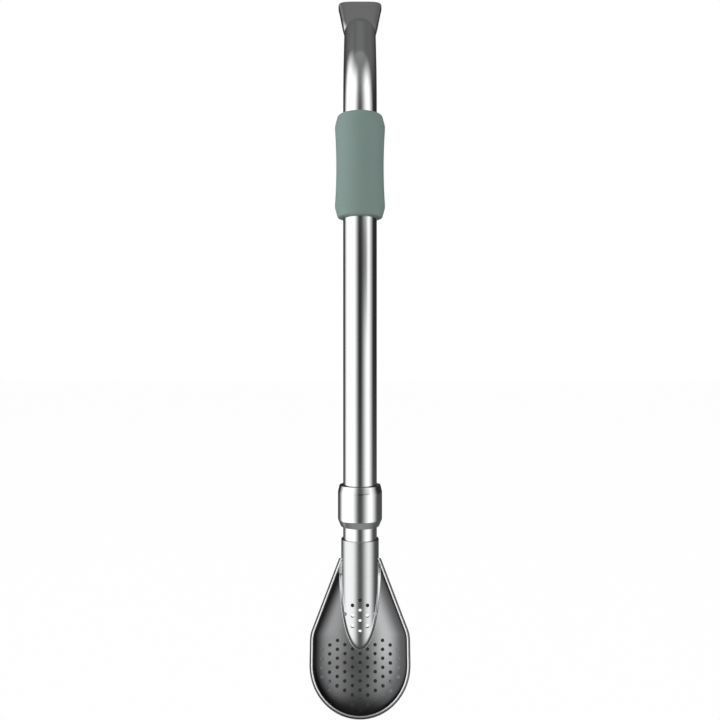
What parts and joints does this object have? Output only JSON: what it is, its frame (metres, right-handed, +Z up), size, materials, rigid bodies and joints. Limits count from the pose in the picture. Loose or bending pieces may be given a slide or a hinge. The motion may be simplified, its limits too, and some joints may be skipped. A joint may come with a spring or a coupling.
{
  "type": "bombilla",
  "caption": "Metal drinking straw for mate, with a bent flattened mouthpiece, a soft grip sleeve and a perforated spoon strainer that a screw collar holds on.",
  "frame": {"origin": "on the straw tube's axis, halfway along the bare stretch between the grip sleeve and the screw collar", "axes": "+Z up along the straight tube to the mouthpiece, -Y out of the open face of the spoon, +X across the spoon; the mouthpiece bends towards +Y"},
  "size_m": [0.0256, 0.0401, 0.1967],
  "materials": {
    "steel": "bright stainless steel, polished along the tube",
    "satin": "satin stainless sheet, pressed and perforated",
    "grip": "matt sage green silicone",
    "seal": "matt grey silicone"
  },
  "bodies": {
    "straw": {"straw_tube": "steel", "mouthpiece": "steel", "grip_sleeve": "grip", "thread_bush": "steel"},
    "filter": {"seal_ring": "seal", "filter_neck": "steel", "ferrule": "steel", "tongue": "steel", "dish": "satin", "back_shell": "satin"},
    "collar": {"screw_collar": "steel"}
  },
  "joints": [
    {"name": "filter_draw", "type": "slide", "parent": "straw", "child": "filter", "axis": [0, 0, -1], "range_m": [0, 0.004]},
    {"name": "collar_turn", "type": "hinge", "parent": "filter", "child": "collar", "pos_m": [0, 0, -0.0412], "axis": [0, 0, -1], "range_deg": [0, 1440]}
  ],
  "couplings": [
    {"joint": "collar_turn", "follows": "filter_draw", "rad_per_m": 6283}
  ]
}
